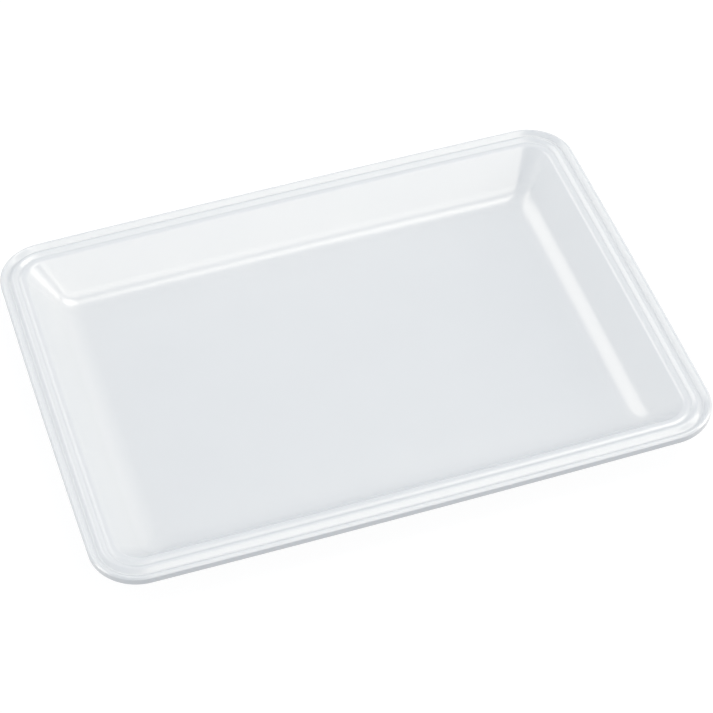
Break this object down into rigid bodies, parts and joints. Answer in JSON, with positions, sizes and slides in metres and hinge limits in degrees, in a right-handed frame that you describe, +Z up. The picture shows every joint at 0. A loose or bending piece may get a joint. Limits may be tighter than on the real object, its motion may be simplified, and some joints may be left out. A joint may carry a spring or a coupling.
{
  "type": "foam meat tray",
  "caption": "Shallow rectangular foam tray with rounded corners, sloping walls and a beaded, grooved rim, for packing fresh food.",
  "frame": {"origin": "centre of the tray's base, on the surface that it stands on", "axes": "+Z up, +X along the long side, +Y along the short side"},
  "size_m": [0.2, 0.15, 0.0155],
  "materials": {
    "foam": "satin"
  },
  "bodies": {
    "root": {"tray": "foam"}
  },
  "joints": []
}
